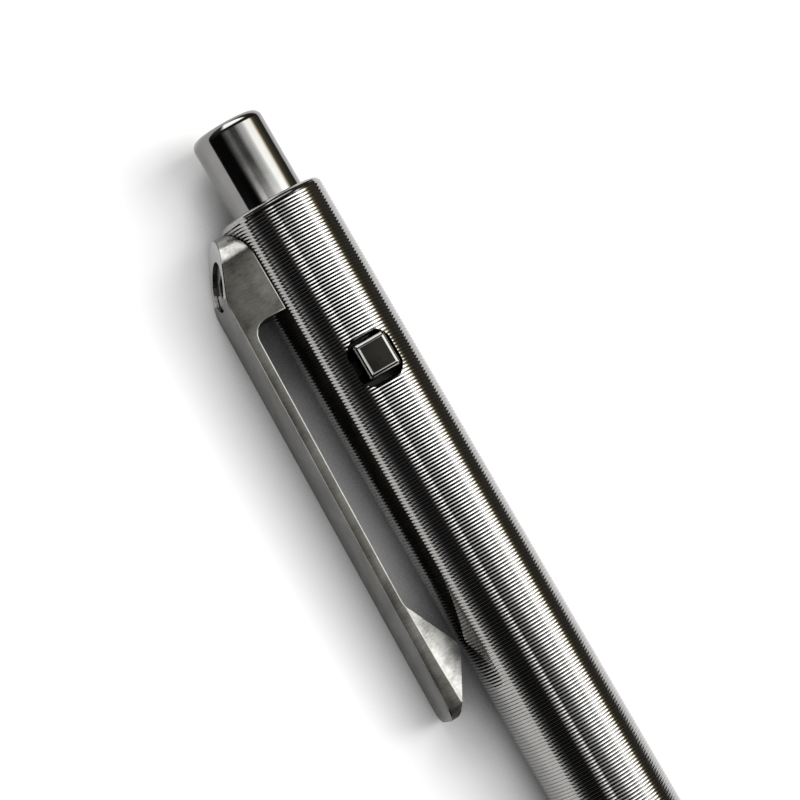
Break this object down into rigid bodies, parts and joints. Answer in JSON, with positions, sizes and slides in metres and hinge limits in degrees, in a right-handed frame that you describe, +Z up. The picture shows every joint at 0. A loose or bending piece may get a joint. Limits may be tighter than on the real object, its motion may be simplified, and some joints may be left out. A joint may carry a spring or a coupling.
{
  "type": "retractable ballpoint pen",
  "caption": "Finely grooved titanium click ballpoint with a screwed-on pocket clip, a side release button, a screw-in nose and a replaceable refill.",
  "frame": {"origin": "on the surface the pen lies on, below the middle of its box", "axes": "+X along the pen, from the plunger's end to the writing point; +Z up; the clip lies on the -Y side and its edge rests on the surface, so the release button faces up and a little towards -Y"},
  "size_m": [0.1356, 0.0162, 0.0114],
  "materials": {
    "titanium_grooved": "fine turned grooves, glossy lands",
    "titanium_turned": "smooth turned, glossy",
    "titanium_milled": "milled, satin, with fine cross marks",
    "steel": "satin",
    "blackened_metal": "chemically blackened, satin",
    "polished_steel": "polished, dark",
    "spring_steel": "bright drawn wire",
    "brass": "turned",
    "plastic": "moulded",
    "rubber": "matt",
    "ink": "thick paste"
  },
  "bodies": {
    "barrel": {"barrel": "titanium_grooved", "clip": "titanium_milled", "clip_screw": "steel", "mechanism_housing": "blackened_metal", "housing_lock_ring": "steel", "latch_spring": "spring_steel"},
    "plunger": {"plunger_cap": "titanium_turned", "plunger_stem": "steel", "thrust_cup": "steel", "plunger_bumper": "rubber"},
    "latch": {"latch_plate": "blackened_metal", "release_button": "polished_steel"},
    "refill": {"refill_end_cap": "plastic", "refill_tube": "steel", "ink_column": "ink", "refill_tip": "brass", "writing_ball": "polished_steel"},
    "nose_carrier": {"return_spring": "spring_steel", "spring_washer": "steel", "nose_o_ring": "rubber"},
    "nose": {"nose_section": "titanium_grooved"}
  },
  "joints": [
    {"name": "plunger_press", "type": "slide", "parent": "barrel", "child": "plunger", "axis": [1, 0, 0], "range_m": [0, 0.0053], "stiffness_N_per_m": 150, "springref_m": -0.006},
    {"name": "refill_advance", "type": "slide", "parent": "barrel", "child": "refill", "axis": [1, 0, 0], "range_m": [0, 0.0053], "deforming": ["return_spring"]},
    {"name": "button_press", "type": "slide", "parent": "barrel", "child": "latch", "axis": [0, 0.2608, -0.9654], "range_m": [0, 0.0005], "stiffness_N_per_m": 400, "springref_m": -0.001, "deforming": ["latch_spring"]},
    {"name": "nose_advance", "type": "slide", "parent": "barrel", "child": "nose_carrier", "axis": [1, 0, 0], "range_m": [0, 0.006]},
    {"name": "nose_turn", "type": "hinge", "parent": "nose_carrier", "child": "nose", "pos_m": [0.0288, 0.00265, 0.0055], "axis": [1, 0, 0], "range_deg": [0, 2880]}
  ],
  "couplings": [
    {"joint": "refill_advance", "follows": "plunger_press", "ratio": 1},
    {"joint": "nose_advance", "follows": "nose_turn", "m_per_rad": 0.00011937}
  ]
}
